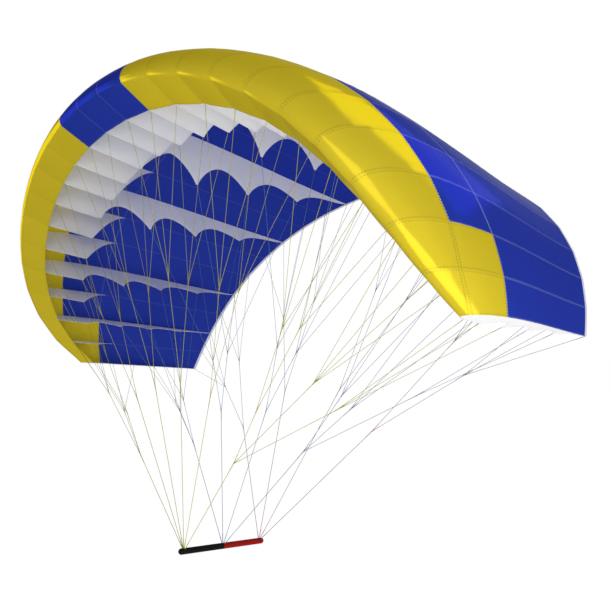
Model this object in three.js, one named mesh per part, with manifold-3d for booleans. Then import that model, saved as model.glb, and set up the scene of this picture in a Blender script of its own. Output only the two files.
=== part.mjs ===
// Parawing: a single-skin hand-held kite wing in its flying shape, with its bridle lines and short bar.
// Millimetres, +X along the span, +Y from the nose to the trailing edge, +Z up.
// The origin is the middle of the bar, where the hands hold it.
import * as THREE from 'three';
import Module from 'manifold-3d';
import { mergeVertices } from 'three/addons/utils/BufferGeometryUtils.js';

// Arch and outline of the wing; a span share runs from 0 at the centre to 1 at a tip
const CELLS = 23;
const HALF_ARC = 1650;
const ARCH = { linear: 0.867, cubic: 1.133, quintic: -0.482 };
const STATION_SPREAD = 0.154;
const CENTRE_CHORD = 1620;
const NOSE_SWEEP = { square: 338, eighth: 246 };
const TAIL_SWEEP = -325;
const WING_HEIGHT = 1654;
const NOSE_AHEAD = 660;

// Section of the wing, in shares of the local chord
const TOP = { base: 0.259, slope: -0.172 };
const HEM = { along: 0.075, drop: 0.05 };
const NOSE_FOLD = 0.07;
const TABS = {
  A: { along: 0.218, drop: 0.071 },
  B: { along: 0.392, drop: 0.074 },
  C: { along: 0.571, drop: 0.064 },
  D: { along: 0.766, drop: 0.041 },
};
const SHORT_RIB_END = 0.378;
const SHORT_RIB_TAPER = 1.4;
const HEM_TAB = 0.03;
const ARCH_RISE = 0.47;

// Cloth
const SKIN = 2;
const RIB = 1.2;
const GAP = 0.3;
const TAB_WIDTH = 10;
const TAIL_TAPE = 14;
const RIB_TAIL = 3;
const RIB_EASE = 0.15;
const BILLOW = 0.012;
const STEPS = { span: 3, front: 10, middle: 3, rear: 5, arch: 8 };

// Seams behind the nose: distance from the centre nose, and how much further back at a tip
const SEAM = {
  first: { centre: 306, tip: 240 },
  second: { centre: 600, tip: 118 },
};
const NARROWEST_FRONT = 10;

// Ribs with a full row of tabs; the others end behind their first tab
const LONG_RIBS = [0, 2, 4, 7, 10, 13, 16, 19, 21, 23];
const PATCH = { from: 10, to: 13 };
const TIP_CELLS = 2;

// Bar
const BAR = { length: 400, radius: 11.5 };
const LINE_INSET = 22;

// Line radii, and the knot where lines meet
const LINE = { main: 1, middle: 0.85, upper: 0.75, knot: 2.4, sides: 4 };

// Right-hand lines: where the knots lie, and which tab each upper line goes to.
// A tab is written as its row and its rib; row H is the hem and row T the trailing edge.
const LINES = [
  { name: 'front_inner', root: -1, knot: [91, -274, 612], branches: [
    { knot: [148, -376, 993], ends: ['H12', 'H13', 'H14'] },
    { knot: [145, -290, 985], ends: ['A12', 'A13', 'A14'] },
  ] },
  { name: 'front_middle', root: -1, knot: [259, -256, 566], branches: [
    { knot: [428, -348, 920], ends: ['H15', 'H16', 'H17'] },
    { knot: [425, -265, 918], ends: ['A15', 'A16', 'A17'] },
  ] },
  { name: 'front_outer', root: -1, knot: [322, -194, 337], branches: [
    { knot: [448, -199, 513], branches: [
      { knot: [668, -272, 772], ends: ['H18', 'H19', 'H20'] },
      { knot: [667, -201, 774], ends: ['A18', 'A19', 'A20'] },
    ] },
    { knot: [694, -164, 602], ends: ['H21', 'A21', 'H22', 'A22'] },
    { knot: [707, -75, 520], ends: ['H23', 'A23', 'B23'] },
  ] },
  { name: 'centre_inner', root: 0, knot: [151, 83, 518], branches: [
    { knot: [170, 122, 773], ends: ['B13', 'C13', 'D13'] },
    { knot: [281, 124, 743], ends: ['B16', 'C16', 'D16'] },
  ] },
  { name: 'centre_outer', root: 0, knot: [364, 92, 372], branches: [
    { knot: [526, 131, 575], ends: ['B19', 'C19', 'D19'] },
    { knot: [562, 137, 525], ends: ['B21', 'C21', 'D21'] },
    { knot: [777, 243, 573], ends: ['C23', 'D23'] },
  ] },
  { name: 'rear_inner', root: 1, knot: [181, 463, 617], branches: [
    { knot: [206, 668, 1068], ends: ['T12', 'T13', 'T14'] },
    { knot: [406, 641, 995], ends: ['T15', 'T16', 'T17'] },
  ] },
  { name: 'rear_outer', root: 1, knot: [419, 406, 445], branches: [
    { knot: [696, 578, 792], ends: ['T18', 'T19', 'T20'] },
    { knot: [764, 541, 657], ends: ['T21', 'T22', 'T23'] },
  ] },
];

const finish = (color, roughness) =>
  new THREE.MeshStandardMaterial({ color, roughness, metalness: 0 });
const FINISH = {
  yellow: finish(0xe2ce2d, 0.5),
  blue: finish(0x283a9c, 0.5),
  white: finish(0xd6d5db, 0.6),
  black: finish(0x151515, 0.6),
  red: finish(0x8e1711, 0.5),
};
const LINE_FINISH = { '-1': FINISH.yellow, 0: FINISH.blue, 1: FINISH.red };

const wasm = await Module();
wasm.setup();

const mix = THREE.MathUtils.lerp;
const clamp = THREE.MathUtils.clamp;

// Where a station of the wing lies: its nose point, chord and the outward direction of its section
function station(rib) {
  const share = (rib - CELLS / 2) / (CELLS / 2);
  const t = Math.abs(share);
  const span = t + STATION_SPREAD * (t - t ** 3);
  const slope = (s) => ARCH.linear * s + ARCH.cubic * s ** 3 + ARCH.quintic * s ** 5;
  const steps = 80;
  let across = 0;
  let down = 0;
  for (let k = 0; k < steps; k += 1) {
    const angle = slope(((k + 0.5) / steps) * span);
    across += (Math.cos(angle) * span * HALF_ARC) / steps;
    down += (Math.sin(angle) * span * HALF_ARC) / steps;
  }
  const noseY = NOSE_SWEEP.square * span ** 2 + NOSE_SWEEP.eighth * span ** 8;
  const chord = CENTRE_CHORD + TAIL_SWEEP * span ** 2 - noseY;
  const side = Math.sign(share);
  const nose = new THREE.Vector3(side * across, noseY - NOSE_AHEAD, WING_HEIGHT - down);
  const out = new THREE.Vector3(side * Math.sin(slope(span)), 0, Math.cos(slope(span)));
  return { nose, out, chord, span, noseY };
}

// The section as a curve around the nose: q squared is the chord share, below the nose q is negative.
// The nose is round down to its fold, and the lip runs straight from there to the hem.
function section(q) {
  const u = q * q;
  if (q >= 0) return [u, q * (1 - u) * (TOP.base + TOP.slope * u)];
  const round = HEM.drop / Math.sqrt(HEM.along);
  if (q > -NOSE_FOLD) return [u, round * q];
  const lip = (u - NOSE_FOLD ** 2) / (HEM.along - NOSE_FOLD ** 2);
  return [u, -mix(round * NOSE_FOLD, HEM.drop, lip)];
}

const topHeight = (u) => section(Math.sqrt(u))[1];

// A point of a station's plane, from its shares of the chord
function place(at, u, v) {
  return at.nose.clone().addScaledVector(at.out, v * at.chord).add(new THREE.Vector3(0, u * at.chord, 0));
}

// Chord share of a seam at a station
function seamShare(at, seam) {
  const back = seam.centre + seam.tip * at.span ** 2 - at.noseY;
  return Math.max(back, NARROWEST_FRONT) / at.chord;
}

// The cloth's edges along the section, from the hem under the nose to the trailing edge
function edges(at) {
  const tail = 1 - TAIL_TAPE / at.chord;
  const stops = [seamShare(at, SEAM.first), seamShare(at, SEAM.second), tail, 1];
  return [-Math.sqrt(HEM.along), ...stops.map(Math.sqrt)];
}

const BANDS = [STEPS.front, STEPS.middle, STEPS.rear, 1];

// Points along the section of one band of cloth, its ends drawn back by half a gap
function bandCurve(at, band, drawn = 0) {
  const [from, to] = edges(at).slice(band, band + 2);
  const count = BANDS[band];
  const pull = drawn / at.chord / 2;
  return Array.from({ length: count + 1 }, (_, k) => {
    const q = mix(from, to, k / count);
    const ends = (k === 0) - (k === count);
    return q + (ends * pull) / Math.max(Math.abs(q), 0.15);
  });
}

// Outward direction of the cloth, from the smooth wing around the point
function outward(rib, band, share) {
  const reach = 0.02;
  const at = (r, k) => {
    const here = station(r);
    const [from, to] = edges(here).slice(band, band + 2);
    return place(here, ...section(mix(from, to, k)));
  };
  const low = clamp(rib - reach, 0, CELLS);
  const high = clamp(rib + reach, 0, CELLS);
  const along = at(rib, share + 0.01).sub(at(rib, share - 0.01));
  const across = at(high, share).sub(at(low, share));
  return across.cross(along).normalize();
}

// Closed mesh from two grids of points, the second one outside the first
function slab(inner, outer) {
  const rows = inner.length;
  const columns = inner[0].length;
  const points = [...inner.flat(), ...outer.flat()].flatMap((p) => [p.x, p.y, p.z]);
  const id = (r, c, top) => (top ? rows * columns : 0) + r * columns + c;
  const faces = [];
  const quad = (a, b, c, d) => faces.push(a, b, c, a, c, d);
  for (let r = 0; r < rows - 1; r += 1) {
    for (let c = 0; c < columns - 1; c += 1) {
      quad(id(r, c, 1), id(r + 1, c, 1), id(r + 1, c + 1, 1), id(r, c + 1, 1));
      quad(id(r, c, 0), id(r, c + 1, 0), id(r + 1, c + 1, 0), id(r + 1, c, 0));
    }
  }
  for (let r = 0; r < rows - 1; r += 1) {
    quad(id(r, 0, 0), id(r + 1, 0, 0), id(r + 1, 0, 1), id(r, 0, 1));
    quad(id(r + 1, columns - 1, 0), id(r, columns - 1, 0), id(r, columns - 1, 1), id(r + 1, columns - 1, 1));
  }
  for (let c = 0; c < columns - 1; c += 1) {
    quad(id(0, c + 1, 0), id(0, c, 0), id(0, c, 1), id(0, c + 1, 1));
    quad(id(rows - 1, c, 0), id(rows - 1, c + 1, 0), id(rows - 1, c + 1, 1), id(rows - 1, c, 1));
  }
  const geometry = new THREE.BufferGeometry();
  geometry.setAttribute('position', new THREE.Float32BufferAttribute(points, 3));
  geometry.setIndex(faces);
  geometry.computeVertexNormals();
  return geometry;
}

// A panel of cloth over some cells of one band: straight along each rib, bulging between ribs
function panel(name, band, from, to, material) {
  const inner = [];
  const outer = [];
  const count = (to - from) * STEPS.span;
  for (let k = 0; k <= count; k += 1) {
    const cell = Math.min(from + Math.floor(k / STEPS.span), to - 1);
    const ends = [station(cell), station(cell + 1)];
    const width = ends[0].nose.distanceTo(ends[1].nose);
    const trim = ((k === 0 && from > 0) - (k === count && to < CELLS)) * (GAP / 2 / width);
    const share = k / STEPS.span + from - cell + trim;
    const curves = ends.map((at) => bandCurve(at, band, GAP));
    const low = [];
    const high = [];
    for (let j = 0; j <= BANDS[band]; j += 1) {
      const [a, b] = ends.map((at, e) => place(at, ...section(curves[e][j])));
      const u = mix(curves[0][j] ** 2, curves[1][j] ** 2, share);
      const bulge = BILLOW * width * (1 - 0.6 * u) * 4 * share * (1 - share);
      const point = a.lerp(b, share);
      const normal = outward(cell + clamp(share, 0, 1), band, j / BANDS[band]);
      low.push(point.clone().addScaledVector(normal, Math.max(bulge, 0) + GAP));
      high.push(point.clone().addScaledVector(normal, Math.max(bulge, 0) + GAP + SKIN));
    }
    inner.push(low);
    outer.push(high);
  }
  const mesh = new THREE.Mesh(slab(inner, outer), material);
  mesh.name = name;
  return mesh;
}

// A rib's upper edge from the hem round the nose to its end: chord share, height share and set-back
function upperEdge(rib, end) {
  const at = station(rib);
  const points = [0, 1, 2].flatMap((band) => bandCurve(at, band).slice(band ? 1 : 0).map((q, k) => {
    const share = (band ? k + 1 : k) / BANDS[band];
    return { behind: q > 0, edge: [...section(q), ribSetBack(rib, band, share)] };
  }));
  const next = points.findIndex(({ behind, edge }) => behind && edge[0] >= end);
  const [a, b] = [points[next - 1].edge, points[next].edge];
  const t = (end - a[0]) / (b[0] - a[0]);
  return [...points.slice(0, next).map(({ edge }) => edge), a.map((value, k) => mix(value, b[k], t))];
}

// Outline of a rib in its own plane, in millimetres from its nose
function ribOutline(rib) {
  const at = station(rib);
  const long = LONG_RIBS.includes(rib);
  const end = long ? 1 - (TAIL_TAPE + 2) / at.chord : SHORT_RIB_END;
  const tail = RIB_TAIL / at.chord;
  const half = TAB_WIDTH / 2 / at.chord;
  const upper = upperEdge(rib, end);
  const stops = Object.values(TABS).slice(0, long ? 4 : 1).map((tab) => [tab.along, -tab.drop]);
  const depth = ([u, v]) => topHeight(u) - v;
  const lower = [];
  stops.forEach((tab, k) => {
    lower.push([tab[0] - half, tab[1]], [tab[0] + half, tab[1]]);
    const last = k === stops.length - 1;
    const from = [tab[0] + half, depth([tab[0] + half, tab[1]])];
    const to = last ? [end, tail] : [stops[k + 1][0] - half, depth([stops[k + 1][0] - half, stops[k + 1][1]])];
    for (let j = 1; j <= STEPS.arch - (last ? 0 : 1); j += 1) {
      const t = j / STEPS.arch;
      const u = mix(from[0], to[0], t);
      const open = long ? 1 - ARCH_RISE * Math.sin(Math.PI * t) ** 0.8 : (1 - t) ** SHORT_RIB_TAPER;
      const d = long ? mix(from[1], to[1], t) * open : mix(to[1], from[1], open);
      lower.push([u, topHeight(u) - d]);
    }
  });
  const flat = (list) => list.map(([u, v]) => new THREE.Vector2(u * at.chord, v * at.chord));
  return [...flat(lower), ...setBack(upper, at.chord).reverse()];
}

// How far a rib's edge is set back so that both its faces stay under the swept cloth
function ribSetBack(rib, band, share) {
  const at = station(rib);
  const normal = outward(rib, band, share);
  const across = new THREE.Vector3(at.out.z, 0, -at.out.x);
  const sideways = normal.dot(across);
  return RIB_EASE + ((RIB / 2) * Math.abs(sideways)) / Math.sqrt(1 - sideways ** 2);
}

// The upper edge moved inwards, square to itself, by each point's own distance
function setBack(upper, chord) {
  const points = upper.map(([u, v]) => new THREE.Vector2(u * chord, v * chord));
  return points.map((point, k) => {
    const before = points[Math.max(k - 1, 0)];
    const after = points[Math.min(k + 1, points.length - 1)];
    const along = after.clone().sub(before).normalize();
    return point.clone().addScaledVector(new THREE.Vector2(along.y, -along.x), upper[k][2]);
  });
}

function ribMesh(rib) {
  const at = station(rib);
  const shape = new THREE.Shape(ribOutline(rib));
  const geometry = new THREE.ExtrudeGeometry(shape, { depth: RIB, bevelEnabled: false, steps: 1 });
  geometry.translate(0, 0, -RIB / 2);
  const mesh = new THREE.Mesh(geometry, FINISH.white);
  const across = new THREE.Vector3(at.out.z, 0, -at.out.x);
  const turn = new THREE.Matrix4().makeBasis(new THREE.Vector3(0, 1, 0), at.out, across);
  mesh.quaternion.setFromRotationMatrix(turn);
  mesh.position.copy(at.nose);
  mesh.name = `rib_${String(rib + 1).padStart(2, '0')}`;
  return mesh;
}

// Where an upper line ends: the point on the cloth, and the direction that the cloth faces there
function lineEnd(code) {
  const row = code[0];
  const rib = Number(code.slice(1));
  const at = station(rib);
  const down = at.out.clone().negate();
  if (row === 'T') {
    const u = 1 - TAIL_TAPE / 2 / at.chord;
    const normal = outward(rib, 3, 0.5);
    return { point: place(at, u, topHeight(u)).addScaledVector(normal, GAP), down: normal.negate() };
  }
  if (row === 'H') {
    const u = mix(HEM.along, TABS.A.along, HEM_TAB);
    return { point: place(at, u, -mix(HEM.drop, TABS.A.drop, HEM_TAB)), down };
  }
  return { point: place(at, TABS[row].along, -TABS[row].drop), down };
}

// A straight line between two points
function rod(from, to, radius) {
  const length = from.distanceTo(to);
  const geometry = new THREE.CylinderGeometry(radius, radius, length, LINE.sides, 1);
  const turn = new THREE.Quaternion();
  turn.setFromUnitVectors(new THREE.Vector3(0, 1, 0), to.clone().sub(from).normalize());
  geometry.applyQuaternion(turn);
  const middle = from.clone().lerp(to, 0.5);
  return geometry.translate(middle.x, middle.y, middle.z);
}

function solid(geometry) {
  const bare = geometry.clone();
  bare.deleteAttribute('normal');
  bare.deleteAttribute('uv');
  const merged = mergeVertices(bare, 1e-4);
  const vertProperties = new Float32Array(merged.attributes.position.array);
  const triVerts = new Uint32Array(merged.index.array);
  return new wasm.Manifold(new wasm.Mesh({ numProp: 3, vertProperties, triVerts }));
}

// The pieces of one tree of lines above a knot
function branch(tree, toPoint) {
  const knot = toPoint(tree.knot);
  const ball = new THREE.IcosahedronGeometry(LINE.knot, 0).translate(knot.x, knot.y, knot.z);
  const pieces = [ball];
  for (const code of tree.ends ?? []) {
    const { point, down } = lineEnd(code);
    const run = toPoint([0, 0, 0]).copy(knot).sub(point).normalize();
    const slant = Math.min(run.dot(down), 1);
    const off = (GAP + LINE.upper * Math.sqrt(1 - slant ** 2)) / slant;
    pieces.push(rod(point.addScaledVector(run, off), knot, LINE.upper));
  }
  for (const next of tree.branches ?? []) {
    pieces.push(rod(knot, toPoint(next.knot), LINE.middle), ...branch(next, toPoint));
  }
  return pieces;
}

// One main line from the bar with all that it carries, for the right side
function lineTree(tree) {
  const root = new THREE.Vector3(0, tree.root * (BAR.length / 2 - LINE_INSET), 0);
  const toPoint = (xyz) => new THREE.Vector3(...xyz);
  const knot = toPoint(tree.knot);
  const run = knot.clone().sub(root).normalize();
  const square = Math.hypot(run.x, run.z);
  const off = (BAR.radius + GAP + LINE.main * Math.abs(run.y)) / square;
  const main = rod(root.clone().addScaledVector(run, off), knot, LINE.main);
  const pieces = [main, ...branch(tree, toPoint)].map(solid);
  return pieces.reduce((whole, piece) => whole.add(piece));
}

function meshOf(manifold, mirrored) {
  const { vertProperties, triVerts } = manifold.getMesh();
  const positions = Float32Array.from(vertProperties, (value, k) => (mirrored && k % 3 === 0 ? -value : value));
  const geometry = new THREE.BufferGeometry();
  geometry.setAttribute('position', new THREE.BufferAttribute(positions, 3));
  geometry.setIndex(Array.from(mirrored ? triVerts.slice().reverse() : triVerts));
  geometry.computeVertexNormals();
  return geometry;
}

function lineMeshes(tree) {
  const whole = lineTree(tree);
  return ['left', 'right'].map((side) => {
    const mesh = new THREE.Mesh(meshOf(whole, side === 'left'), LINE_FINISH[tree.root]);
    mesh.name = `lines_${tree.name}_${side}`;
    return mesh;
  });
}

// Half of the bar: a round-ended rod that meets the other half at the middle
function barHalf(name, material) {
  const half = BAR.length / 2;
  const profile = [new THREE.Vector2(0, half)];
  const arc = 6;
  for (let k = 1; k <= arc; k += 1) {
    const angle = (Math.PI / 2) * (k / arc);
    const reach = half - BAR.radius + BAR.radius * Math.cos(angle);
    profile.push(new THREE.Vector2(BAR.radius * Math.sin(angle), reach));
  }
  profile.push(new THREE.Vector2(BAR.radius, GAP / 2), new THREE.Vector2(0, GAP / 2));
  const mesh = new THREE.Mesh(new THREE.LatheGeometry(profile.reverse(), 20), material);
  mesh.name = name;
  return mesh;
}

function bar() {
  const group = new THREE.Group();
  const rear = barHalf('bar_rear', FINISH.red);
  const front = barHalf('bar_front', FINISH.black);
  front.rotation.z = Math.PI;
  group.add(front, rear);
  return group;
}

function canopy() {
  const group = new THREE.Group();
  const tip = CELLS - TIP_CELLS;
  group.add(
    panel('front_left', 0, 0, PATCH.from, FINISH.yellow),
    panel('front_centre', 0, PATCH.from, PATCH.to, FINISH.blue),
    panel('front_right', 0, PATCH.to, CELLS, FINISH.yellow),
    panel('middle_tip_left', 1, 0, TIP_CELLS, FINISH.yellow),
    panel('middle_centre', 1, TIP_CELLS, tip, FINISH.blue),
    panel('middle_tip_right', 1, tip, CELLS, FINISH.yellow),
    panel('rear', 2, 0, CELLS, FINISH.blue),
    panel('tail_tape', 3, 0, CELLS, FINISH.white),
  );
  for (let rib = 0; rib <= CELLS; rib += 1) group.add(ribMesh(rib));
  return group;
}

const parawing = new THREE.Group();
parawing.add(canopy(), bar(), ...LINES.flatMap(lineMeshes));

export default parawing;
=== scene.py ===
"""Looks of a parawing: a single-skin hand-held kite wing with its bridle lines and short bar.

Every piece lies on the form of the solid that it stands for. Lengths are metres in the part's own
frame: +X along the span, +Y from the nose to the trailing edge, +Z up, and the origin in the
middle of the bar.
"""

import logging
import math
from collections.abc import Callable, Sequence
from dataclasses import dataclass
from enum import Enum

import bpy
import numpy as np
from mathutils import Matrix, Vector


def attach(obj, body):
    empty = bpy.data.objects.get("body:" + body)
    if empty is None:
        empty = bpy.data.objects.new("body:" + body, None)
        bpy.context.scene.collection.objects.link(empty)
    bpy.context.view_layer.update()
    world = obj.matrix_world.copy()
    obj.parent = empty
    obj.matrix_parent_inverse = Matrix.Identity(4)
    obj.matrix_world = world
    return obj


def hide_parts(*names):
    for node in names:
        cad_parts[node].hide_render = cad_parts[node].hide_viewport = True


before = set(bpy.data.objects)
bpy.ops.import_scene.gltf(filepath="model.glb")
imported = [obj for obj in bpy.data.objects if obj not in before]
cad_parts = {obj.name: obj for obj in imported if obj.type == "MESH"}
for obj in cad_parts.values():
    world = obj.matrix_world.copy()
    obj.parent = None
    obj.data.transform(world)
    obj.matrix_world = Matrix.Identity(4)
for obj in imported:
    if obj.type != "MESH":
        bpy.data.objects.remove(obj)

LOG = logging.getLogger("parawing")
BODY = "root"
UV_NAME = "cut"
RIB_GAP = "rib_gap"
SEAM_GAP = "seam_gap"
CELL_TONE = "cell_tone"
SEWN = "sewn"
TURN = 2 * math.pi

Array = np.ndarray
Color = tuple[float, float, float, float]
Point = tuple[float, float, float]
Strand = tuple[Array, Array, float, bool]
Inputs = dict[int | str, object]
Wires = dict[str, bpy.types.NodeSocket]


class Slot(Enum):
    """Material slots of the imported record."""

    YELLOW = "yellow_cloth"
    BLUE = "blue_cloth"
    WHITE = "white_cloth"
    TAPE = "white_tape"
    BAR_BLACK = "bar_black"
    BAR_RED = "bar_red"
    LINE_YELLOW = "line_yellow"
    LINE_BLUE = "line_blue"
    LINE_RED = "line_red"


class Band(Enum):
    """Bands of the skin, from the hem under the nose to the trailing edge."""

    FRONT = 0
    MIDDLE = 1
    REAR = 2
    TAPE = 3


class BarPlace(Enum):
    """Places along the bar, as signs of y."""

    FRONT = -1
    MIDDLE = 0
    REAR = 1


class Side(Enum):
    """Sides of the wing, as signs of x."""

    LEFT = -1
    RIGHT = 1


Finishes = dict[Slot, bpy.types.Material]


@dataclass(frozen=True)
class ClothFinish:
    """Finish of a sewn cloth: its colours, its satin and its sewing."""

    deep: Color  # where the coating lies thick, linear RGBA
    pale: Color  # where the coating lies thin
    thread: Color
    roughness: float
    specular: float
    satin: float = 0.0  # share of the light that it mirrors in its own colour
    rim_tint: Color = (1.0, 1.0, 1.0, 1.0)  # colour that it mirrors at a flat angle
    rib_thread: float = 0.6  # how much of the thread's colour shows along the ribs
    seam_thread: float = 0.6  # the same along the panel's own edges
    weave_thread: float = 0.03  # the same in the thick threads and the double cloth
    rip_pitch: float = 0.006
    stitch_pitch: float = 0.006
    stitch_offset: float = 0.004
    stitch_width: float = 0.0013
    cloud: float = 3.0  # scale of the uneven tone
    cell_share: float = 0.3  # how much of the tone belongs to the whole cell
    uneven: float = 0.1  # how far the roughness follows the tone
    thread_rough: float = 0.2
    weave_height: float = 0.00002
    fold_height: float = 0.00012
    thread_height: float = 0.00015
    relief: float = 0.6


@dataclass(frozen=True)
class GripFinish:
    """Finish of the moulded grip on the bar."""

    base: Color
    worn: Color  # where hands have rubbed it
    cloud: float = 22.0
    wear_from: float = 0.42  # tone from which a place is worn
    wear_gain: float = 2.5  # how fast the wear sets in
    roughness: float = 0.6
    uneven: float = 0.2
    specular: float = 0.08
    pebble: float = 0.0016  # size of the moulded grain
    pebble_height: float = 0.0002
    relief: float = 0.5


@dataclass(frozen=True)
class LineFinish:
    """Finish of a braided line."""

    base: Color
    fleck: Color  # the pale strand of the braid
    fleck_share: float = 0.6
    fleck_rough: float = 0.15
    roughness: float = 0.6
    specular: float = 0.03
    pitch: float = 0.006  # one turn of the braid
    height: float = 0.0001
    relief: float = 0.5


CLOTH_FINISHES: dict[Slot, ClothFinish] = {
    Slot.YELLOW: ClothFinish(
        deep=(0.585, 0.455, 0.02, 1.0),
        pale=(0.645, 0.505, 0.027, 1.0),
        thread=(0.15, 0.13, 0.03, 1.0),
        roughness=0.15,
        specular=0.0,
        satin=0.24,
        rim_tint=(1.0, 0.85, 0.3, 1.0),
        rib_thread=0.42,
        stitch_pitch=0.009,
        stitch_offset=0.005,
        stitch_width=0.0016,
    ),
    Slot.BLUE: ClothFinish(
        deep=(0.014, 0.032, 0.31, 1.0),
        pale=(0.018, 0.041, 0.37, 1.0),
        thread=(0.45, 0.5, 0.75, 1.0),
        roughness=0.15,
        specular=0.0015,
        satin=0.24,
        rim_tint=(0.2, 0.26, 0.8, 1.0),
        rib_thread=0.4,
        seam_thread=1.0,
        stitch_pitch=0.009,
        stitch_offset=0.0022,
        stitch_width=0.0011,
    ),
    Slot.WHITE: ClothFinish(
        deep=(0.9, 0.9, 0.91, 1.0),
        pale=(0.95, 0.95, 0.96, 1.0),
        thread=(0.46, 0.46, 0.5, 1.0),
        roughness=0.6,
        specular=0.3,
    ),
    Slot.TAPE: ClothFinish(
        deep=(0.55, 0.57, 0.68, 1.0),
        pale=(0.66, 0.68, 0.78, 1.0),
        thread=(0.4, 0.42, 0.55, 1.0),
        roughness=0.6,
        specular=0.3,
        rip_pitch=0.0024,
        stitch_pitch=0.004,
        stitch_offset=0.0016,
        stitch_width=0.0008,
    ),
}

GRIP_FINISHES: dict[Slot, GripFinish] = {
    Slot.BAR_BLACK: GripFinish(base=(0.003, 0.003, 0.003, 1.0), worn=(0.008, 0.008, 0.009, 1.0)),
    Slot.BAR_RED: GripFinish(base=(0.23, 0.004, 0.003, 1.0), worn=(0.3, 0.009, 0.006, 1.0)),
}

LINE_FINISHES: dict[Slot, LineFinish] = {
    Slot.LINE_YELLOW: LineFinish(base=(0.34, 0.33, 0.01, 1.0), fleck=(0.40, 0.39, 0.05, 1.0)),
    Slot.LINE_BLUE: LineFinish(base=(0.11, 0.20, 0.33, 1.0), fleck=(0.19, 0.28, 0.40, 1.0)),
    Slot.LINE_RED: LineFinish(base=(0.29, 0.09, 0.14, 1.0), fleck=(0.35, 0.18, 0.22, 1.0)),
}


def unit(vectors: Array) -> Array:
    """Give vectors the length 1."""
    return vectors / np.linalg.norm(vectors, axis=-1, keepdims=True)


@dataclass(frozen=True)
class Stations:
    """Sections of the wing at some span stations, one row each."""

    nose: Array
    out: Array  # outward directions of the section planes
    chord: Array
    span: Array  # from 0 at the centre to 1 at a tip
    nose_y: Array  # how far each nose lies behind the centre nose

    def place(self, u: Array, v: Array) -> Array:
        """Give points of the section planes.

        Args:
            u: Chord shares, one row for each station.
            v: Height shares, one row for each station.

        Returns:
            Points, with one more axis than u.
        """
        reach = self.chord[:, None, None]
        along = np.array([0.0, 1.0, 0.0])
        return self.nose[:, None] + v[..., None] * reach * self.out[:, None] + u[..., None] * reach * along


@dataclass(frozen=True)
class ClothGrid:
    """A grid of points on the skin, one row for each rib number."""

    rib: Array
    point: Array  # on the inner face
    normal: Array
    rib_gap: Array  # distance to the nearest rib

    def lengths(self) -> tuple[Array, Array]:
        """Add up the grid's steps both ways.

        Returns:
            Each point's distance along the span and along the chord from the grid's corner.
        """
        found = []
        for axis in (0, 1):
            steps = np.linalg.norm(np.diff(self.point, axis=axis), axis=-1)
            start = np.zeros_like(np.take(steps, [0], axis=axis))
            found.append(np.concatenate([start, np.cumsum(steps, axis=axis)], axis=axis))
        return found[0], found[1]

    def area(self) -> float:
        """Add up the quads, each as half the cross product of its diagonals.

        Returns:
            The area of the grid in square metres.
        """
        a = self.point[1:, 1:] - self.point[:-1, :-1]
        b = self.point[1:, :-1] - self.point[:-1, 1:]
        return float(np.linalg.norm(np.cross(a, b), axis=-1).sum() / 2)


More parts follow.
